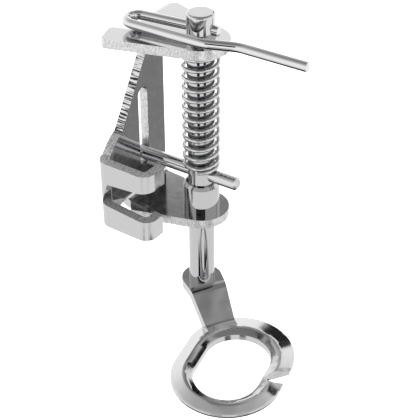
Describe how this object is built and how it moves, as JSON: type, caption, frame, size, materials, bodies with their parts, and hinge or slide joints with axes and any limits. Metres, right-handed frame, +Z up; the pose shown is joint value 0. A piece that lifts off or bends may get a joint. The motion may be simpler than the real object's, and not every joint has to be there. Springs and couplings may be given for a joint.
{
  "type": "sewing machine presser foot",
  "caption": "Free-motion darning presser foot: bent steel bracket with a bar clamp, sprung rod, hairpin lever and an oval ring foot round the needle.",
  "frame": {"origin": "presser bar axis at the height of the clamp screw", "axes": "+Z up along the presser bar, +X from the bracket's web towards the rod"},
  "size_m": [0.0403, 0.0339, 0.0608],
  "materials": {
    "plated_sheet": "bright nickel plate with sheared edges",
    "turned_steel": "polished plated steel",
    "spring_wire": "plated spring steel wire"
  },
  "bodies": {
    "holder": {"bracket": "plated_sheet", "guide_bushing": "turned_steel", "spring": "spring_wire"},
    "plunger": {"rod": "turned_steel", "cross_pin": "turned_steel", "lever_wire": "spring_wire", "foot": "plated_sheet"}
  },
  "joints": [
    {"name": "rod_slide", "type": "slide", "parent": "holder", "child": "plunger", "axis": [0, 0, 1], "range_m": [0, 0.0105], "stiffness_N_per_m": 250, "springref_m": -0.006, "deforming": ["spring"]}
  ]
}
